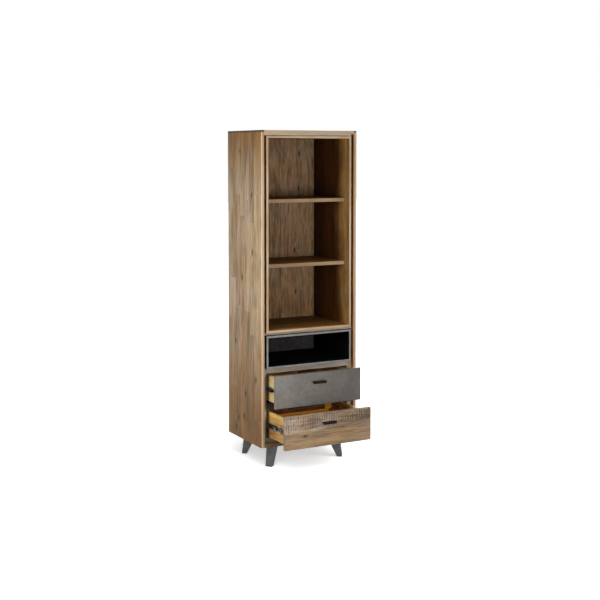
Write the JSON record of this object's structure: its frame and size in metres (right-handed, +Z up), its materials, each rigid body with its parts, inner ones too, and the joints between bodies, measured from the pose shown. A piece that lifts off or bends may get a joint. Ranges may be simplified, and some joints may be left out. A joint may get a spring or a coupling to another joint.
{
  "type": "bookcase with bottom drawers",
  "caption": "Tall open bookcase with shelves above a metal niche and sliding drawers, standing on splayed tapered legs.",
  "frame": {"origin": "on the floor, under the middle of the whole piece as stored, with its drawers part open", "axes": "+X to the right seen from the front, +Y to the back, +Z up; the drawers open towards -Y"},
  "size_m": [0.6, 0.661, 1.85],
  "materials": {
    "case_wood": "brushed solid wood, satin lacquer",
    "back_board": "veneered back board",
    "box_wood": "solid wood, satin lacquer",
    "box_back_wood": "dark stained wood",
    "shelf_wood": "solid wood, satin lacquer",
    "frame_wood": "grey stained wood",
    "front_wood": "sawn wood, matt lacquer",
    "drawer_wood": "oiled wood",
    "niche_board": "black stained board",
    "niche_metal": "dark iron, waxed",
    "front_metal": "iron sheet, matt lacquer",
    "leg_metal": "gunmetal lacquer",
    "handle_iron": "blackened iron",
    "runner_steel": "zinc plated",
    "screw_steel": "zinc plated",
    "pin_steel": "nickel plated",
    "glide_plastic": "moulded"
  },
  "bodies": {
    "case": {"back_panel": "back_board", "bottom_panel": "case_wood", "bottom_rail": "frame_wood", "box_back": "box_back_wood", "box_floor": "box_wood", "box_side_left": "box_wood", "box_side_right": "box_wood", "box_top": "box_wood", "leg_back_left": "leg_metal", "leg_back_right": "leg_metal", "leg_front_left": "leg_metal", "leg_front_right": "leg_metal", "leg_glides": "glide_plastic", "lower_divider": "frame_wood", "lower_runner_cabinet_left": "runner_steel", "lower_runner_cabinet_right": "runner_steel", "middle_rail": "frame_wood", "niche_back": "niche_metal", "niche_floor": "niche_board", "niche_lining": "niche_metal", "niche_sides": "niche_board", "niche_top": "niche_board", "runner_board_left": "frame_wood", "runner_board_right": "frame_wood", "shelf_lower": "shelf_wood", "shelf_pins": "pin_steel", "shelf_upper": "shelf_wood", "side_panel_left": "case_wood", "side_panel_right": "case_wood", "top_panel": "case_wood", "top_rail": "frame_wood", "upper_divider": "frame_wood", "upper_runner_cabinet_left": "runner_steel", "upper_runner_cabinet_right": "runner_steel"},
    "upper_runner_middles": {"upper_runner_middle_left": "runner_steel", "upper_runner_middle_right": "runner_steel"},
    "upper_drawer": {"upper_back": "drawer_wood", "upper_bottom": "drawer_wood", "upper_front_core": "drawer_wood", "upper_front_skin": "front_metal", "upper_handle": "handle_iron", "upper_handle_screws": "screw_steel", "upper_inner_front": "drawer_wood", "upper_runner_drawer_left": "runner_steel", "upper_runner_drawer_right": "runner_steel", "upper_side_left": "drawer_wood", "upper_side_right": "drawer_wood"},
    "lower_runner_middles": {"lower_runner_middle_left": "runner_steel", "lower_runner_middle_right": "runner_steel"},
    "lower_drawer": {"lower_back": "drawer_wood", "lower_bottom": "drawer_wood", "lower_front_plank_bottom": "front_wood", "lower_front_plank_top": "front_wood", "lower_handle": "handle_iron", "lower_handle_screws": "screw_steel", "lower_inner_front": "drawer_wood", "lower_runner_drawer_left": "runner_steel", "lower_runner_drawer_right": "runner_steel", "lower_side_left": "drawer_wood", "lower_side_right": "drawer_wood"}
  },
  "joints": [
    {"name": "upper_drawer_slide", "type": "slide", "parent": "case", "child": "upper_drawer", "axis": [0, -1, 0], "range_m": [-0.108, 0.242]},
    {"name": "upper_runner_slide", "type": "slide", "parent": "case", "child": "upper_runner_middles", "axis": [0, -1, 0], "range_m": [-0.054, 0.121]},
    {"name": "lower_drawer_slide", "type": "slide", "parent": "case", "child": "lower_drawer", "axis": [0, -1, 0], "range_m": [-0.217, 0.133]},
    {"name": "lower_runner_slide", "type": "slide", "parent": "case", "child": "lower_runner_middles", "axis": [0, -1, 0], "range_m": [-0.1085, 0.0665]}
  ],
  "couplings": [
    {"joint": "upper_runner_slide", "follows": "upper_drawer_slide", "ratio": 0.5},
    {"joint": "lower_runner_slide", "follows": "lower_drawer_slide", "ratio": 0.5}
  ]
}
